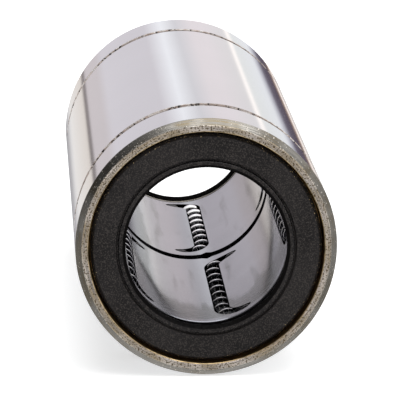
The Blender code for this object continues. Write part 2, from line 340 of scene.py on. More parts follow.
def new_group(name, inputs, outputs):
    """A shader node group with inputs (name, type, default) and outputs (name, type)."""
    group = bpy.data.node_groups.new(name, "ShaderNodeTree")
    for label, kind, default in inputs:
        socket = group.interface.new_socket(name=label, in_out="INPUT", socket_type=kind)
        socket.default_value = default
    for label, kind in outputs:
        group.interface.new_socket(name=label, in_out="OUTPUT", socket_type=kind)
    start = group.nodes.new("NodeGroupInput")
    end = group.nodes.new("NodeGroupOutput")
    return group, start, end


def math_node(tree, operation, first, second=None):
    """A Math node's result; first and second are sockets or numbers."""
    node = tree.nodes.new("ShaderNodeMath")
    node.operation = operation
    for index, value in enumerate((first, second)):
        if value is None:
            continue
        if isinstance(value, bpy.types.NodeSocket):
            tree.links.new(value, node.inputs[index])
        else:
            node.inputs[index].default_value = value
    return node.outputs[0]


def object_axes(tree):
    """X, Y and Z of the shaded point in the piece's own coordinates."""
    place = tree.nodes.new("ShaderNodeTexCoord")
    split = tree.nodes.new("ShaderNodeSeparateXYZ")
    tree.links.new(place.outputs["Object"], split.inputs[0])
    return split.outputs


def ramp_node(tree, value, low, high):
    """0 below low, 1 above high, and smooth between."""
    node = tree.nodes.new("ShaderNodeMapRange")
    node.interpolation_type = "SMOOTHSTEP"
    tree.links.new(value, node.inputs["Value"])
    for label, number in (("From Min", low), ("From Max", high)):
        if isinstance(number, bpy.types.NodeSocket):
            tree.links.new(number, node.inputs[label])
        else:
            node.inputs[label].default_value = number
    return node.outputs["Result"]


def make_lathe_group():
    """Marks that run round a turned or ground part, from its radius, length and angle."""
    group, start, end = new_group(
        "Lathe marks",
        [
            ("Radial density", "NodeSocketFloat", 8000.0),
            ("Axial density", "NodeSocketFloat", 8000.0),
            ("Angular density", "NodeSocketFloat", 4.0),
        ],
        [("Marks", "NodeSocketFloat")],
    )
    x, y, z = object_axes(group)
    across, up = math_node(group, "MULTIPLY", x, x), math_node(group, "MULTIPLY", z, z)
    square = math_node(group, "ADD", across, up)
    radius = math_node(group, "SQRT", square)
    angle = math_node(group, "ARCTAN2", x, z)
    join = group.nodes.new("ShaderNodeCombineXYZ")
    for index, (value, density) in enumerate(((radius, 0), (y, 1), (angle, 2))):
        stretched = math_node(group, "MULTIPLY", value, start.outputs[density])
        group.links.new(stretched, join.inputs[index])
    noise = group.nodes.new("ShaderNodeTexNoise")
    noise.inputs["Scale"].default_value = 1.0
    noise.inputs["Detail"].default_value = 3.0
    group.links.new(join.outputs[0], noise.inputs["Vector"])
    group.links.new(noise.outputs["Fac"], end.inputs["Marks"])
    return group


SPECK_EDGE = 0.12  # share of the noise over which a speck fades in


def make_speck_group():
    """Small scattered specks: pits on metal, bloom and dust on rubber, and glints painted on the
    oiled seat, seal edge and ridge.
    """
    group, start, end = new_group(
        "Specks",
        [("Scale", "NodeSocketFloat", 6000.0), ("Cover", "NodeSocketFloat", 0.3)],
        [("Specks", "NodeSocketFloat")],
    )
    place = group.nodes.new("ShaderNodeTexCoord")
    noise = group.nodes.new("ShaderNodeTexNoise")
    noise.inputs["Detail"].default_value = 2.0
    group.links.new(place.outputs["Object"], noise.inputs["Vector"])
    group.links.new(start.outputs["Scale"], noise.inputs["Scale"])
    threshold = math_node(group, "SUBTRACT", 1.0, start.outputs["Cover"])
    full = math_node(group, "ADD", threshold, SPECK_EDGE)
    group.links.new(ramp_node(group, noise.outputs["Fac"], threshold, full), end.inputs["Specks"])
    return group


DRIFT_COVER = (0.35, 0.65)  # where the second tone starts and is full


def make_tone_group():
    """Slow drift between two tones over the surface."""
    group, start, end = new_group(
        "Tone drift",
        [
            ("First", "NodeSocketColor", (0.5, 0.5, 0.5, 1.0)),
            ("Second", "NodeSocketColor", (0.4, 0.4, 0.4, 1.0)),
            ("Scale", "NodeSocketFloat", 120.0),
        ],
        [("Colour", "NodeSocketColor")],
    )
    place = group.nodes.new("ShaderNodeTexCoord")
    noise = group.nodes.new("ShaderNodeTexNoise")
    noise.inputs["Detail"].default_value = 4.0
    group.links.new(place.outputs["Object"], noise.inputs["Vector"])
    group.links.new(start.outputs["Scale"], noise.inputs["Scale"])
    mix = group.nodes.new("ShaderNodeMix")
    mix.data_type = "RGBA"
    group.links.new(ramp_node(group, noise.outputs["Fac"], *DRIFT_COVER), mix.inputs["Factor"])
    group.links.new(start.outputs["First"], mix.inputs["A"])
    group.links.new(start.outputs["Second"], mix.inputs["B"])
    group.links.new(mix.outputs["Result"], end.inputs["Colour"])
    return group


GROUP_MAKERS = {
    "Lathe marks": make_lathe_group,
    "Specks": make_speck_group,
    "Tone drift": make_tone_group,
}


def group_node(tree, name, **values):
    """Places a shared node group in a material, with its own values."""
    node = tree.nodes.new("ShaderNodeGroup")
    node.node_tree = bpy.data.node_groups.get(name) or GROUP_MAKERS[name]()
    for label, value in values.items():
        node.inputs[label.replace("_", " ")].default_value = value
    return node.outputs[0]


def new_material(name, metallic):
    material = bpy.data.materials.new(name)
    material.use_nodes = True
    shader = material.node_tree.nodes["Principled BSDF"]
    shader.inputs["Metallic"].default_value = metallic
    return material, material.node_tree, shader


def mix_colours(tree, factor, first, second):
    mix = tree.nodes.new("ShaderNodeMix")
    mix.data_type = "RGBA"
    tree.links.new(factor, mix.inputs["Factor"])
    for label, value in (("A", first), ("B", second)):
        if isinstance(value, bpy.types.NodeSocket):
            tree.links.new(value, mix.inputs[label])
        else:
            mix.inputs[label].default_value = (*value, 1.0)
    return mix.outputs["Result"]


def range_node(tree, value, low, high):
    """Maps 0..1 to low..high."""
    node = tree.nodes.new("ShaderNodeMapRange")
    tree.links.new(value, node.inputs["Value"])
    node.inputs["To Min"].default_value = low
    node.inputs["To Max"].default_value = high
    return node.outputs["Result"]


def add_bump(tree, shader, height, strength, distance):
    bump = tree.nodes.new("ShaderNodeBump")
    bump.inputs["Strength"].default_value = strength
    bump.inputs["Distance"].default_value = distance
    tree.links.new(height, bump.inputs["Height"])
    tree.links.new(bump.outputs["Normal"], shader.inputs["Normal"])


def scaled(colour, share):
    return tuple(channel * share for channel in colour)


def with_alpha(colour):
    return (*colour, 1.0)


# Marks per metre of radius and of length, and per radian.
TURNED = (9000.0, 9000.0, 3.0)
GROUND = (0.0, 5000.0, 1.0)


@dataclass
class Finish:
    """How one steel surface was made: its tone, its marks and its specks."""

    roughness: tuple  # least and most
    marks: tuple  # per metre of radius and of length, and per radian
    bump: tuple  # strength and depth
    drift: float = 0.95  # the second tone, as a share of the first
    drift_scale: float = 100.0
    streak: float = 1.0  # the tone in the deeper marks, as a share of the rest
    specks: tuple = None  # scale, cover and colour
    film: float = 1.0  # the tone under the oil film and painted shade, as a share of the rest; 1 is none
    metallic: float = 1.0
    second: tuple = None  # the second tone itself, instead of a share; in the ring groove it is painted glints


# The oil film and painted shade: how the oil smears run, how painted shade darkens the bore
# towards the front lip (along -Y) and the left side (along -X), where the seal has wiped it off,
# and what part of the sum covers the steel.
FILM_SMEARS = {"Radial_density": 0.0, "Axial_density": 45.0, "Angular_density": 4.5}
PAINTED_SHADE_FRONT, PAINTED_SHADE_FRONT_SHARE = (22 * MM, 33 * MM), 0.5
PAINTED_SHADE_LEFT, PAINTED_SHADE_LEFT_SHARE = (4.5 * MM, 8 * MM), 0.6
FILM_WIPED = (33.5 * MM, 34.5 * MM)
FILM_AND_SHADE_COVER = (0.55, 0.8)


def oil_film(tree):
    """1 where dark oil smears and painted shade cover the steel, and 0 where it is clean."""
    smears = group_node(tree, "Lathe marks", **FILM_SMEARS)
    x, y, _ = object_axes(tree)
    # Painted shade: the bore is darkened towards the front lip and towards the left side.
    ahead = math_node(tree, "MULTIPLY", y, -1.0)
    shade_near_end = math_node(tree, "MULTIPLY", ramp_node(tree, ahead, *PAINTED_SHADE_FRONT), PAINTED_SHADE_FRONT_SHARE)
    left = math_node(tree, "MULTIPLY", x, -1.0)
    shade_near_side = math_node(tree, "MULTIPLY", ramp_node(tree, left, *PAINTED_SHADE_LEFT), PAINTED_SHADE_LEFT_SHARE)
    film = math_node(tree, "ADD", math_node(tree, "ADD", smears, shade_near_end), shade_near_side)
    wiped = math_node(tree, "SUBTRACT", 1.0, ramp_node(tree, ahead, *FILM_WIPED))
    return math_node(tree, "MULTIPLY", ramp_node(tree, film, *FILM_AND_SHADE_COVER), wiped)


STREAK_COVER = (0.4, 0.62)  # where the marks start to be streaked and are fully so


def metal(name, colour, finish):
    """A steel finish: drifting tone, marks that run round the part, and specks."""
    material, tree, shader = new_material(name, finish.metallic)
    tone = group_node(
        tree,
        "Tone drift",
        First=with_alpha(colour),
        Second=with_alpha(finish.second or scaled(colour, finish.drift)),
        Scale=finish.drift_scale,
    )
    # Oil smears and painted shade darken the tone and take away the metallic look.
    if finish.film < 1:
        film_and_shade_cover = oil_film(tree)
        tone = mix_colours(tree, film_and_shade_cover, tone, scaled(colour, finish.film))
        tree.links.new(range_node(tree, film_and_shade_cover, finish.metallic, 0.0), shader.inputs["Metallic"])
    radial, axial, angular = finish.marks
    marks = group_node(
        tree, "Lathe marks", Radial_density=radial, Axial_density=axial, Angular_density=angular
    )
    height = marks
    if finish.streak < 1:
        deep = ramp_node(tree, marks, *STREAK_COVER)
        tone = mix_colours(tree, deep, tone, scaled(colour, finish.streak))
    if finish.specks:
        scale, cover, speck = finish.specks
        spots = group_node(tree, "Specks", Scale=scale, Cover=cover)
        tone = mix_colours(tree, spots, tone, speck)
        height = math_node(tree, "SUBTRACT", marks, spots)
    tree.links.new(tone, shader.inputs["Base Color"])
    tree.links.new(range_node(tree, marks, *finish.roughness), shader.inputs["Roughness"])
    add_bump(tree, shader, height, *finish.bump)
    return material


def make_finishes():
    """The finishes of the whole bushing, made once."""
    colours = bpy.context.scene.bushing_finish
    rim, groove, steel, black = colours.rim, colours.groove, colours.retainer, colours.rubber
    burnished_and_glints = colours.seat_edge
    made = {}

    def add(name, title, colour, roughness, marks, bump, **more):
        made[name] = metal(title, colour, Finish(roughness, marks, bump, **more))

    add(
        "sleeve", "ground sleeve steel", colours.sleeve,
        (0.035, 0.08), GROUND, (0.02, 0.01 * MM), drift=0.97, drift_scale=60.0,
    )
    add(
        "rim", "turned face steel", rim, (0.15, 0.45), TURNED, (0.7, 0.05 * MM),
        drift_scale=380.0, streak=0.45, specks=(4600.0, 0.5, scaled(burnished_and_glints, 0.18)),
        second=colours.tarnish,
    )
    add(
        "seat edge", "burnished seat edge", burnished_and_glints,
        (0.2, 0.35), TURNED, (0.3, 0.02 * MM), drift=0.35, drift_scale=700.0,
    )
    # Oiled seat: brown oil, with pale golden specks painted as glints.
    add(
        "seat", "oiled seat steel with painted glints", colours.seat, (0.3, 0.45), TURNED, (0.4, 0.03 * MM),
        drift=0.4, drift_scale=500.0, specks=(3600.0, 0.4, scaled(burnished_and_glints, 0.8)),
    )
    # Painted shade: a near black copy of the ball steel for the middle ball of each turn, so that
    # it looks unlit.
    add(
        "greased ball", "shade painted ball steel", scaled(colours.ball, 0.03),
        (0.3, 0.45), GROUND, (0.02, 0.01 * MM), drift=0.7,
    )
    add(
        "chamfer", "turned chamfer steel", colours.chamfer,
        (0.18, 0.34), TURNED, (0.5, 0.04 * MM), drift_scale=300.0, streak=0.6,
        specks=(4200.0, 0.38, scaled(rim, 0.8)), second=scaled(colours.tarnish, 0.35),
    )
    # Ring groove: olive steel with dark pits, and a near white second tone painted as broken
    # glints.
    add(
        "groove", "ring groove steel with painted glints", groove, (0.3, 0.55), TURNED, (0.6, 0.05 * MM),
        drift_scale=1800.0, streak=0.6, specks=(2400.0, 0.47, scaled(groove, 0.08)),
        metallic=0.25, second=(0.95, 0.93, 0.90),
    )
    add(
        "groove floor", "turned groove floor steel", colours.chamfer,
        (0.2, 0.4), TURNED, (0.5, 0.04 * MM), drift=0.7, drift_scale=400.0, streak=0.7,
        specks=(2600.0, 0.36, scaled(groove, 0.25)),
    )
    add(
        "race", "ground race steel", scaled(colours.sleeve, 0.6),
        (0.12, 0.2), GROUND, (0.05, 0.01 * MM), drift=0.9,
    )
    # Retainer steel: oil smears, with painted shade towards the front lip and the left side.
    add(
        "retainer", "retainer steel", steel, (0.1, 0.2), GROUND, (0.05, 0.01 * MM),
        drift=0.85, drift_scale=160.0, streak=0.93,
        specks=(5000.0, 0.4, scaled(steel, 0.8)), film=0.03,
    )
    # Painted shade: the ball channels get a much darker copy of the retainer steel, standing in for
    # the shade inside them.
    add(
        "channel", "channel steel darkened as painted shade", scaled(steel, 0.12),
        (0.35, 0.5), GROUND, (0.1, 0.02 * MM), drift=0.8, drift_scale=200.0,
    )
    add(
        "ball", "ball steel", colours.ball,
        (0.03, 0.05), GROUND, (0.005, 0.01 * MM), drift=0.98,
    )
    add(
        "ring", "pressed ring steel", rim,
        (0.25, 0.4), TURNED, (0.2, 0.02 * MM), drift=0.85, drift_scale=200.0,
    )
    made["rubber"] = rubber("seal rubber", black, colours.speck_colour, gloss=0.2, cover=0.5)
    # Seal edge: oiled rubber with golden specks painted as glints.
    made["rubber edge"] = rubber("oiled seal edge rubber with painted glints", black, burnished_and_glints, gloss=0.3, cover=0.36)
    # Ridge in the fine groove: glossy oiled rubber with brown specks painted as glints.
    made["ridge"] = rubber(
        "oiled ridge rubber with painted glints", black, colours.seat, gloss=0.9, cover=0.3, roughness=(0.12, 0.3)
    )
    # Lip: a darker, duller copy of the seal rubber, painted shade on the lip's inner cone.
    made["lip"] = rubber("wiping lip rubber darkened as painted shade", scaled(black, 0.35), black, gloss=0.06, cover=0.3)
    return made


PEBBLES = {"Scale": 3000.0, "Cover": 0.5}
PEBBLE_BUMP = (0.7, 0.05 * MM)
RUBBER_SPECK_SCALE = 6500.0
RUBBER_DRIFT, RUBBER_DRIFT_SCALE = 1.8, 220.0


def rubber(name, colour, speck_colour, gloss, cover, roughness=(0.42, 0.68)):
    """Moulded black rubber: fine pebbled relief with pale specks, which are bloom on the seal face
    and painted glints on the oiled edge and ridge.
    """
    material, tree, shader = new_material(name, 0.0)
    shader.inputs["Specular IOR Level"].default_value = gloss
    pebbles = group_node(tree, "Specks", **PEBBLES)
    specks = group_node(tree, "Specks", Scale=RUBBER_SPECK_SCALE, Cover=cover)
    tone = group_node(
        tree,
        "Tone drift",
        First=with_alpha(colour),
        Second=with_alpha(scaled(colour, RUBBER_DRIFT)),
        Scale=RUBBER_DRIFT_SCALE,
    )
    shade = mix_colours(tree, specks, tone, speck_colour)
    tree.links.new(shade, shader.inputs["Base Color"])
    tree.links.new(range_node(tree, pebbles, *roughness), shader.inputs["Roughness"])
    add_bump(tree, shader, pebbles, *PEBBLE_BUMP)
    return material


FINISHES = {}


def finish_named(name):
    if not FINISHES:
        FINISHES.update(make_finishes())
    return FINISHES[name]


# ---------------------------------------------------------------- sleeve


def land_span():
    """Where the race starts and ends along |y|, so that it carries both loaded rows."""
    front, rear = (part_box(f"{end}_circuit_1_loaded_balls") for end in ENDS)
    inset = 0.3 * MM
    return max(-front[1][1], rear[0][1]) + inset, min(-front[0][1], rear[1][1]) - inset


def sleeve_corners(sizes):
    """Section of the sleeve at full detail, as (radius, y, corner radius)."""
    radius, half = sleeve_size()
    edge, chamfer = sizes.edge, sizes.chamfer
    groove_out = sizes.groove_span / 2
    groove_in = groove_out - sizes.groove_width
    groove_radius = radius - sizes.groove_depth
    seat = half - sizes.counterbore_depth
    shoulder = seat - sizes.shoulder
    land_in, land_out = land_span()
    outer = [
        (radius - chamfer, half, edge * 2),
        (radius, half - chamfer, edge * 1.5),
        (radius, groove_out, edge),
        (groove_radius, groove_out, edge),
        (groove_radius, groove_in, edge),
        (radius, groove_in, edge),
    ]
    inner = [
        (sizes.counterbore, half, edge * 2),
        (sizes.counterbore, seat, edge),
        (sizes.race, seat, edge),
        (sizes.race, shoulder, edge),
        (sizes.recess, shoulder, edge),
        (sizes.recess, land_out, edge),
        (sizes.race, land_out, edge),
        (sizes.race, land_in, edge),
        (sizes.recess, land_in, edge),
    ]
    lower = [(r, -y, fillet) for r, y, fillet in reversed(outer)]
    return outer + lower + [(r, -y, f) for r, y, f in inner] + list(reversed(inner))


def return_groove_object(end, number, balls, radius):
    """A bar that cuts the straight groove in the race over one circuit's return row."""
    land_in, land_out = land_span()
    beyond = 0.5 * MM
    edit = bmesh.new()
    bmesh.ops.create_cone(
        edit,
        cap_ends=True,
        segments=32,
        radius1=radius,
        radius2=radius,
        depth=land_out - land_in + 2 * beyond,
        matrix=Matrix.Rotation(math.pi / 2, 4, "X"),
    )
    item = new_object("return groove", mesh_of(edit, "return groove"))
    row = circuit_matrix(end, number) @ Vector((turn_radius(balls), 0.0, 0.0))
    item.location = (row.x, math.copysign((land_in + land_out) / 2, row.y), row.z)
    return item


# How far a face's centre may lie from a surface and still be painted as part of it.
SLACK = 0.05 * MM
SKIN = 0.12 * MM
FLAT = 0.5  # Y of the normal above which a face counts as facing along the axis


class BUSHING_OT_sleeve(bpy.types.Operator):
    """Make the ground outer sleeve with its turned rims and ring grooves"""

    bl_idname = "bushing.sleeve"
    bl_label = "Outer sleeve"

    def execute(self, context):
        sizes = context.scene.bushing_sleeve
        balls = context.scene.bushing_balls
        body = turned_mesh("ground sleeve", sleeve_corners(sizes), sizes.sides)
        bar = balls.diameter / 2 + context.scene.bushing_retainer.channel_clearance
        places = [(end, number) for end in ENDS for number in CIRCUIT_NUMBERS]
        bars = [return_groove_object(*place, balls, bar) for place in places]
        mesh = subtract(new_object("ground sleeve", body), bars)
        smooth(mesh)
        radius, half = sleeve_size()
        edge = sizes.edge
        outside = radius - SKIN
        seat_edge_out = sizes.counterbore + 1.2 * edge
        seat_edge_in = half - 2.1 * edge
        end_face = half - 1.5 * edge
        groove_floor = radius - sizes.groove_depth - 2 * SLACK
        groove_outer = sizes.groove_span / 2 + 2 * edge
        groove_inner = groove_outer - sizes.groove_width - 4 * edge

        def choose(face):
            away, along = radius_of(face.center), abs(face.center.y)
            if along > seat_edge_in and away < seat_edge_out:
                return "seat edge"
            if along > end_face:
                return "rim" if away < radius - sizes.chamfer + SLACK else "chamfer"
            if along > half - sizes.chamfer - SLACK and away > outside - sizes.chamfer:
                return "chamfer"
            if groove_inner < along < groove_outer and away > groove_floor:
                return "groove" if abs(face.normal.y) > FLAT else "groove floor"
            if away > outside:
                return "sleeve"
            return "seat" if along > half - sizes.counterbore_depth - 2 * SLACK else "race"

        names = ("sleeve", "rim", "groove", "race", "chamfer", "seat", "seat edge", "groove floor")
        paint(mesh, names, choose)
        piece = new_object("ground_sleeve", mesh)
        even_normals(piece)
        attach(piece, BODY)
        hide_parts("outer_sleeve")
        return {"FINISHED"}


# ---------------------------------------------------------------- retainers


def turn_radius(balls):
    """Half the distance between a circuit's loaded and return rows."""
    loaded = balls.shaft + balls.diameter / 2
    beyond = balls.return_row
    return math.sqrt(loaded**2 + beyond**2 - 2 * loaded * beyond * math.cos(balls.row_angle)) / 2


def channel_object(end, number, balls, radius, steps=20, sides=28):
    """The round channel of one circuit as a closed tube, placed on the circuit."""
    curve = bpy.data.curves.new("channel", "CURVE")
    curve.dimensions = "3D"
    curve.bevel_depth = radius / math.cos(math.pi / sides)
    curve.bevel_resolution = sides // 2 - 2
    spline = curve.splines.new("POLY")
    spline.use_cyclic_u = True
    spline.points.add(2 * steps + 1)
    reach = turn_radius(balls)
    half = straight_half(end, number)
    for index, point in enumerate(spline.points):
        side, step = divmod(index, steps + 1)
        angle = math.pi * (side + step / steps)
        shift = half if side == 0 else -half
        point.co = (reach * math.cos(angle), reach * math.sin(angle) + shift, 0.0, 1.0)
    mesh = take_evaluated(new_object("channel", curve), "channel")
    tube = new_object("channel", mesh)
    tube.matrix_world = circuit_matrix(end, number)
    return tube


def tube_grid(name, sizes, low, high):
    """A plain tube along Y with evenly divided walls and chamfered ends."""
    outer, inner, chamfer = sizes.outer, sizes.inner, sizes.chamfer
    straight = high - low - 2 * chamfer
    steps = [high - chamfer - straight * i / sizes.rings for i in range(sizes.rings + 1)]
    corners = [(outer - chamfer, high, 0.0)]
    corners += [(outer, y, 0.0) for y in steps]
    corners += [(outer - chamfer, low, 0.0), (inner + chamfer, low, 0.0)]
    corners += [(inner, y, 0.0) for y in reversed(steps)]
    corners += [(inner + chamfer, high, 0.0)]
    return turned_mesh(name, corners, sizes.sides)


def subtract(item, cutters):
    """Cuts each cutter from the object for good, and removes the cutters."""
    for cutter in cutters:
        boolean = item.modifiers.new("cut", "BOOLEAN")
        boolean.operation = "DIFFERENCE"
        boolean.solver = "EXACT"
        boolean.object = cutter
    bpy.context.view_layer.update()
    mesh = take_evaluated(item, item.name)
    for cutter in cutters:
        bpy.data.objects.remove(cutter, do_unlink=True)
    return mesh


NOTCH_BAR = 8 * MM


def notch_object(sizes, y):
    """A square bar on its corner, along a radius midway between two circuits."""
    front, rear = (circuit_matrix(end, 1).translation for end in ENDS)
    radial = Vector((front.x + rear.x, 0.0, front.z + rear.z)).normalized()
    edit = bmesh.new()
    size = {"radius1": sizes.notch, "radius2": sizes.notch, "depth": NOTCH_BAR}
    bmesh.ops.create_cone(edit, cap_ends=True, segments=4, **size)
    item = new_object("notch", mesh_of(edit, "notch"))
    upright = radial.to_track_quat("Z", "Y").to_matrix().to_4x4()
    middle = radial * (sizes.inner + sizes.outer) / 2
    item.matrix_world = Matrix.Translation(middle + Vector((0.0, y, 0.0))) @ upright
    return item


# How near a point must lie to a shape, and how well the normals must agree, to take its normal.
NEAR = 0.03 * MM
ROUND_AGREES, CHANNEL_AGREES = 0.9, 0.8


def surface_normal(point, face_normal, sizes, tracks, reach, channel):
    """The true normal where a face lies on the bore, the outside or a channel, or its own."""
    away = radius_of(point)
    radial = Vector((point.x, 0.0, point.z)).normalized()
    if abs(away - sizes.outer) < NEAR and face_normal.dot(radial) > ROUND_AGREES:
        return radial
    if abs(away - sizes.inner) < NEAR and face_normal.dot(radial) < -ROUND_AGREES:
        return -radial
    for matrix, inverse, half in tracks:
        local = inverse @ point
        if abs(local.z) > channel + NEAR:
            continue
        if abs(local.y) <= half:
            nearest = Vector((math.copysign(reach, local.x), local.y, 0.0))
        else:
            centre = Vector((0.0, math.copysign(half, local.y), 0.0))
            flat = Vector((local.x, local.y, 0.0)) - centre
            nearest = centre + flat.normalized() * reach
        outward = local - nearest
        if abs(outward.length - channel) < 2 * NEAR:
            exact = matrix.to_3x3() @ (-outward.normalized())
            if exact.dot(face_normal) > CHANNEL_AGREES:
                return exact
    return face_normal


def true_normals(mesh, sizes, end, balls, channel):
    """Sets the normals of the cut retainer from its shapes, so that its facets don't show."""
    tracks = []
    for number in CIRCUIT_NUMBERS:
        matrix = circuit_matrix(end, number)
        tracks.append((matrix, matrix.inverted(), straight_half(end, number)))
    reach = turn_radius(balls)
    normals = []
    for face in mesh.polygons:
        for index in face.loop_indices:
            point = mesh.vertices[mesh.loops[index].vertex_index].co
            normals.append(surface_normal(point, face.normal, sizes, tracks, reach, channel))
    mesh.shade_smooth()
    mesh.normals_split_custom_set(normals)


WALL_SLACK = 0.02 * MM  # how far a corner may lie from the bore or outside and still be on it


class BUSHING_OT_retainers(bpy.types.Operator):
    """Make the two retainers with their ball channels and index notches"""

    bl_idname = "bushing.retainers"
    bl_label = "Retainers"

    def execute(self, context):
        sizes = context.scene.bushing_retainer
        balls = context.scene.bushing_balls
        channel = balls.diameter / 2 + sizes.channel_clearance
        for end in ENDS:
            low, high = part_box(f"{end}_retainer")
            body = tube_grid(f"{end} slotted retainer", sizes, low[1], high[1])
            tube = new_object(f"{end}_slotted_retainer", body)
            seam = high[1] if end == "front" else low[1]
            cutters = [notch_object(sizes, seam)]
            cutters += [channel_object(end, number, balls, channel) for number in CIRCUIT_NUMBERS]
            mesh = subtract(tube, cutters)
            true_normals(mesh, sizes, end, balls, channel)
            near_bore = sizes.inner + WALL_SLACK
            near_outside = sizes.outer - WALL_SLACK

            def choose(face):
                away = [radius_of(mesh.vertices[index].co) for index in face.vertices]
                smooth_wall = max(away) < near_bore or min(away) > near_outside
                return "retainer" if smooth_wall or abs(face.normal.y) > FLAT else "channel"

            # Faces of the ball channels take the dark channel finish, which is painted shade.
            paint(mesh, ("retainer", "channel"), choose)
            piece = new_object(f"{end}_slotted_retainer", mesh)
            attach(piece, BODY)
            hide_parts(f"{end}_retainer")
        return {"FINISHED"}


# ---------------------------------------------------------------- balls


def balls_mesh(name, places, balls, segments):
    """Separate polished balls at the given places. The middle ball of a turn is painted near black,
    as painted shade.
    """
    edit = bmesh.new()
    for place in places:
        bmesh.ops.create_uvsphere(
            edit,
            u_segments=segments,
            v_segments=segments * 5 // 8,
            radius=balls.diameter / 2,
            matrix=Matrix.Translation(place),
        )
    mesh = mesh_of(edit, name)
    mesh.shade_smooth()
    each = len(mesh.polygons) // len(places)
    # The middle ball of an end turn takes the near black finish, which is painted shade.
    shade_painted = len(places) // 2 if len(places) == balls.turn_count else None

    def choose(face):
        return "greased ball" if face.index // each == shade_painted else "ball"

    paint(mesh, ("ball", "greased ball"), choose)
    return mesh


def row_places(balls, side):
    """Centres of a straight row in its circuit's frame; side is -1 for the loaded row."""
    reach = turn_radius(balls)
    first = (balls.row_count - 1) / 2
    steps = [(ball - first) * balls.pitch for ball in range(balls.row_count)]
    return [Vector((side * reach, step, 0.0)) for step in steps]


def turn_places(balls, half, side):
    """Centres of the balls round an end turn in its circuit's frame; side is 1 at the +Y end."""
    reach = turn_radius(balls)
    step = math.pi / balls.turn_count
    angles = [(ball + 0.5) * step for ball in range(balls.turn_count)]
    return [Vector((reach * math.cos(a), side * (half + reach * math.sin(a)), 0.0)) for a in angles]


class BUSHING_OT_balls(bpy.types.Operator):
    """Make the polished balls of all ball circuits"""

    bl_idname = "bushing.balls"
    bl_label = "Balls"

    def execute(self, context):
        balls = context.scene.bushing_balls
        for end in ENDS:
            for number in CIRCUIT_NUMBERS:
                self.make_circuit(end, number, balls)
        return {"FINISHED"}

    def make_circuit(self, end, number, balls):
        title = f"{end}_circuit_{number}"
        matrix = circuit_matrix(end, number)
        half = straight_half(end, number)
        groups = {
            "loaded": (row_places(balls, -1), balls.segments),
            "return": (row_places(balls, 1), balls.segments // 2),
            "inner_turn": (turn_places(balls, half, 1), balls.segments),
            "outer_turn": (turn_places(balls, half, -1), balls.segments),
        }
        for label, (places, segments) in groups.items():
            placed = [matrix @ place for place in places]
            mesh = balls_mesh(f"{title} {label}", placed, balls, segments)
            piece = new_object(f"{title}_polished_{label}", mesh)
            node = f"{title}_{label}_balls"
            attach(piece, node)
            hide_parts(node)


# ---------------------------------------------------------------- seals and rings


LIP_HEIGHT = 0.42 * MM
# The parts of a seal that are painted apart: the lip's height and length, where the rubber is
# darkened as painted shade, the bevelled outer edge and the ridge inside the fine groove, which
# carry painted glints.
PAINTED_LIP = 0.36 * MM
LIP_LENGTH = 0.72 * MM
BEVEL = 0.45 * MM
RIDGE = 0.3 * MM
LEVEL = 0.98  # Y of the normal above which a face of the ridge counts as the flat face


def seal_corners(sizes, end):
    """Section of a seal: bevelled face, fine ring groove and rounded lip."""
    half = sleeve_size()[1]
    face = half - sizes.face
    back = half - sizes.back
    groove = sizes.groove
    throat = sizes.lip + LIP_HEIGHT
    corners = [
        (sizes.outer - 0.35 * MM, face, 0.12 * MM),
        (sizes.outer, face - 0.4 * MM, 0.1 * MM),
        (sizes.outer, back, 0.1 * MM),
        (throat, back, 0.04 * MM),
        (sizes.lip, face - 0.7 * MM, 0.08 * MM),
        (sizes.lip, face - 0.5 * MM, 0.08 * MM),
        (throat, face - 0.05 * MM, 0.08 * MM),
        (groove - 0.2 * MM, face - 0.05 * MM, 0.06 * MM),
        (groove - 0.08 * MM, face - 0.45 * MM, 0.03 * MM),
        (groove + 0.08 * MM, face - 0.45 * MM, 0.03 * MM),
        (groove + 0.2 * MM, face, 0.06 * MM),
    ]
    return corners if end == "rear" else [(r, -y, f) for r, y, f in reversed(corners)]


class BUSHING_OT_seals(bpy.types.Operator):
    """Make the two rubber wiper seals"""

    bl_idname = "bushing.seals"
    bl_label = "End seals"

    def execute(self, context):
        sizes = context.scene.bushing_seal
        for end in ENDS:
            mesh = turned_mesh(f"{end} wiper seal", seal_corners(sizes, end), sizes.sides)
            smooth(mesh)
            throat = sizes.lip + PAINTED_LIP
            lip_back = sleeve_size()[1] - sizes.face - LIP_LENGTH

            def choose(face):
                away = radius_of(face.center)
                # The lip's inner cone takes the darker lip rubber, which is painted shade.
                if away < throat and abs(face.center.y) > lip_back:
                    return "lip"
                in_ridge = sizes.groove - RIDGE < away < sizes.groove
                if in_ridge and abs(face.normal.y) < LEVEL:
                    return "ridge"
                return "rubber edge" if away > sizes.outer - BEVEL else "rubber"

            paint(mesh, ("rubber", "lip", "rubber edge", "ridge"), choose)
            piece = new_object(f"{end}_wiper_seal", mesh)
            even_normals(piece)
            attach(piece, BODY)
            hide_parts(f"{end}_seal")
        return {"FINISHED"}


class BUSHING_OT_rings(bpy.types.Operator):
    """Make the side rings and the steel cores behind the seals"""

    bl_idname = "bushing.rings"
    bl_label = "Side rings and seal cores"

    def execute(self, context):
        sizes = context.scene.bushing_rings
        for end in ENDS:
            for label, inner in (("side_ring", sizes.side_ring), ("seal_core", sizes.seal_core)):
                node = f"{end}_{label}"
                low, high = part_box(node)
                section = ((high[0], high[1]), (high[0], low[1]), (inner, low[1]), (inner, high[1]))
                corners = [(*corner, sizes.edge) for corner in section]
                mesh = turned_mesh(f"{end} pressed {label}", corners, sizes.sides)
                smooth(mesh)
                mesh.materials.append(finish_named("ring"))
                piece = new_object(f"{end}_pressed_{label}", mesh)
                even_normals(piece)
                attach(piece, BODY)
                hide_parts(node)
        return {"FINISHED"}


# ---------------------------------------------------------------- stage


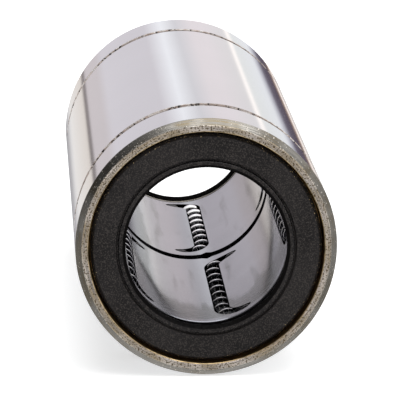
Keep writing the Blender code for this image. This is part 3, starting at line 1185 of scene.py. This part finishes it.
# The room's light: its level, and patches of (direction, dot product where the patch starts and
# where it is full, change).
ROOM_LEVEL = 0.55
ROOM_PATCHES = (
    ((0.15, 0.25, 1.0), 0.45, 0.9, 0.45),
    ((-0.75, -0.1, 0.65), 0.75, 0.93, -0.45),
    ((0.9, -0.3, 0.3), 0.6, 0.95, 0.3),
    ((0.0, -1.0, -0.2), 0.5, 0.95, 0.3),
    ((0.1, 1.0, 0.3), 0.6, 0.95, 0.35),
    ((0.0, 0.1, -1.0), 0.5, 0.9, 0.4),
)
# The reflection walls, as stops of (angle round the axis from the top, red, green, blue).
WALL_STOPS = (
    (-180, 0.42, 0.41, 0.43),
    (-160, 0.46, 0.45, 0.47),
    (-148, 0.80, 0.78, 0.78),
    (-142, 0.90, 0.87, 0.85),
    (-112, 0.86, 0.79, 0.74),
    (-110, 0.25, 0.22, 0.22),
    (-106, 0.25, 0.22, 0.22),
    (-104, 0.73, 0.67, 0.69),
    (-86, 0.73, 0.67, 0.69),
    (-76, 0.81, 0.77, 0.82),
    (-22, 0.81, 0.77, 0.82),
    (-4, 1.10, 1.10, 1.15),
    (12, 0.84, 0.82, 0.86),
    (28, 0.97, 0.90, 0.93),
    (42, 0.97, 0.90, 0.93),
    (67, 0.88, 0.85, 0.86),
    (70, 1.32, 1.24, 1.20),
    (72, 1.32, 1.24, 1.20),
    (75, 0.92, 0.93, 0.93),
    (97, 0.92, 0.93, 0.97),
    (104, 0.52, 0.51, 0.58),
    (109, 0.15, 0.13, 0.17),
    (122, 0.10, 0.08, 0.11),
    (128, 0.35, 0.25, 0.20),
    (131, 1.10, 0.98, 0.92),
    (136, 0.95, 0.88, 0.84),
    (139, 0.35, 0.32, 0.32),
    (142, 0.95, 0.90, 0.86),
    (150, 0.50, 0.47, 0.46),
    (156, 0.90, 0.86, 0.84),
    (180, 0.42, 0.41, 0.43),
)


def wall_material():
    """Glow that changes with the angle round the axis, as a ring of cards and strips would."""
    material = bpy.data.materials.new("reflection wall")
    material.use_nodes = True
    tree = material.node_tree
    tree.nodes.clear()
    x, _, z = object_axes(tree)
    angle = math_node(tree, "ARCTAN2", x, z)
    share = math_node(tree, "ADD", math_node(tree, "DIVIDE", angle, 2 * math.pi), 0.5)
    ramp = tree.nodes.new("ShaderNodeValToRGB")
    tree.links.new(share, ramp.inputs["Fac"])
    stops = ramp.color_ramp.elements
    for index, (degrees, *colour) in enumerate(WALL_STOPS):
        position = degrees / 360 + 0.5
        stop = stops[index] if index < len(stops) else stops.new(position)
        stop.position = position
        stop.color = with_alpha(colour)
    glow = tree.nodes.new("ShaderNodeEmission")
    tree.links.new(ramp.outputs["Color"], glow.inputs["Color"])
    end = tree.nodes.new("ShaderNodeOutputMaterial")
    tree.links.new(glow.outputs[0], end.inputs["Surface"])
    return material


WALL_DISTANCE = 2.0
WALL_RADIUS = 1.5
WALL_SIDES = 96


def reflection_wall(name, y, material):
    """A disc far beyond one end of the bushing, seen only in reflections."""
    edit = bmesh.new()
    centre = edit.verts.new((0.0, y, 0.0))
    turns = [2 * math.pi * i / WALL_SIDES for i in range(WALL_SIDES)]
    corners = [(WALL_RADIUS * math.sin(turn), y, WALL_RADIUS * math.cos(turn)) for turn in turns]
    ring = [edit.verts.new(corner) for corner in corners]
    for i in range(WALL_SIDES):
        edit.faces.new((centre, ring[i], ring[(i + 1) % WALL_SIDES]))
    mesh = mesh_of(edit, name)
    mesh.materials.append(material)
    wall = new_object(name, mesh)
    wall.visible_camera = False
    wall.visible_diffuse = False
    wall.visible_shadow = False


FLOOR_HALF = 4.0
FLOOR_GLOW = 0.48
FLOOR_GAP = 0.02 * MM
LAMP_SIZE = 1.2
LAMP_WATTS = 7.0
LAMP_PLACE = (0.15, -0.15, 1.3)
SENSOR_WIDTH = 36.0
NEAREST_SEEN = 0.01


class BUSHING_OT_stage(bpy.types.Operator):
    """Make the pale floor, the soft light, the reflection walls and the camera"""

    bl_idname = "bushing.stage"
    bl_label = "Stage"

    def execute(self, context):
        settings = context.scene.bushing_stage
        self.make_floor(settings)
        self.make_light()
        material = wall_material()
        reflection_wall("rear_reflection_wall", WALL_DISTANCE, material)
        reflection_wall("front_reflection_wall", -WALL_DISTANCE, material)
        self.make_camera(context, settings)
        context.scene.view_settings.view_transform = "Standard"
        return {"FINISHED"}

    def make_floor(self, settings):
        edit = bmesh.new()
        bmesh.ops.create_grid(edit, x_segments=1, y_segments=1, size=FLOOR_HALF)
        mesh = mesh_of(edit, "floor")
        material, _, shader = new_material("plain pale floor", 0.0)
        shader.inputs["Base Color"].default_value = with_alpha(settings.floor)
        shader.inputs["Roughness"].default_value = 0.9
        shader.inputs["Specular IOR Level"].default_value = 0.1
        shader.inputs["Emission Color"].default_value = with_alpha(settings.floor)
        shader.inputs["Emission Strength"].default_value = FLOOR_GLOW
        mesh.materials.append(material)
        floor = new_object("floor", mesh)
        floor.location.z = CAD_BOX[0][2] - FLOOR_GAP
        floor.visible_glossy = False

    def make_light(self):
        world = bpy.data.worlds.new("soft studio room")
        world.use_nodes = True
        tree = world.node_tree
        background = tree.nodes["Background"]
        place = tree.nodes.new("ShaderNodeTexCoord")
        light = ROOM_LEVEL
        for direction, start, end, amount in ROOM_PATCHES:
            facing = tree.nodes.new("ShaderNodeVectorMath")
            facing.operation = "DOT_PRODUCT"
            tree.links.new(place.outputs["Generated"], facing.inputs[0])
            facing.inputs[1].default_value = Vector(direction).normalized()
            patch = ramp_node(tree, facing.outputs["Value"], start, end)
            light = math_node(tree, "ADD", math_node(tree, "MULTIPLY", patch, amount), light)
        path = tree.nodes.new("ShaderNodeLightPath")
        seen = math_node(tree, "MAXIMUM", light, path.outputs["Is Camera Ray"])
        tree.links.new(seen, background.inputs["Strength"])
        background.inputs["Color"].default_value = (1.0, 1.0, 1.0, 1.0)
        bpy.context.scene.world = world
        lamp = bpy.data.lights.new("large soft lamp", "AREA")
        lamp.shape = "DISK"
        lamp.size = LAMP_SIZE
        lamp.energy = LAMP_WATTS
        item = new_object("large_soft_lamp", lamp)
        item.location = LAMP_PLACE
        item.rotation_euler = (-item.location).to_track_quat("-Z", "Y").to_euler()

    def make_camera(self, context, settings):
        data = bpy.data.cameras.new("camera")
        data.sensor_width = SENSOR_WIDTH
        data.lens = settings.lens
        data.clip_start = NEAREST_SEEN
        camera = new_object("camera", data)
        aim = Vector(settings.aim)
        level = math.cos(settings.elevation)
        right, ahead = math.sin(settings.azimuth) * level, math.cos(settings.azimuth) * level
        look = Vector((right, ahead, -math.sin(settings.elevation)))
        camera.location = aim - look * settings.distance
        camera.rotation_euler = look.to_track_quat("-Z", "Y").to_euler()
        context.scene.camera = camera


# ---------------------------------------------------------------- panel and registration


OPERATORS = (
    BUSHING_OT_sleeve,
    BUSHING_OT_retainers,
    BUSHING_OT_balls,
    BUSHING_OT_seals,
    BUSHING_OT_rings,
    BUSHING_OT_stage,
)
SETTINGS = {
    "bushing_sleeve": SleeveSettings,
    "bushing_retainer": RetainerSettings,
    "bushing_balls": BallSettings,
    "bushing_seal": SealSettings,
    "bushing_rings": RingSettings,
    "bushing_finish": FinishSettings,
    "bushing_stage": StageSettings,
}


class BUSHING_PT_panel(bpy.types.Panel):
    """Lists the pieces of the bushing and their sizes"""

    bl_idname = "BUSHING_PT_panel"
    bl_label = "Linear ball bushing"
    bl_space_type = "VIEW_3D"
    bl_region_type = "UI"
    bl_category = "Bushing"

    def draw(self, context):
        for operator in OPERATORS:
            self.layout.operator(operator.bl_idname)
        for attribute, settings in SETTINGS.items():
            box = self.layout.box()
            box.label(text=settings.__doc__)
            for label in settings.__annotations__:
                box.prop(getattr(context.scene, attribute), label)


def register():
    for settings in SETTINGS.values():
        bpy.utils.register_class(settings)
    for attribute, settings in SETTINGS.items():
        setattr(bpy.types.Scene, attribute, PointerProperty(type=settings))
    for item in (*OPERATORS, BUSHING_PT_panel):
        bpy.utils.register_class(item)


def unregister():
    for item in (BUSHING_PT_panel, *reversed(OPERATORS)):
        bpy.utils.unregister_class(item)
    for attribute, settings in SETTINGS.items():
        delattr(bpy.types.Scene, attribute)
        bpy.utils.unregister_class(settings)


def main():
    register()
    bpy.ops.bushing.sleeve()
    bpy.ops.bushing.retainers()
    bpy.ops.bushing.balls()
    bpy.ops.bushing.seals()
    bpy.ops.bushing.rings()
    bpy.ops.bushing.stage()


if __name__ == "__main__":
    main()
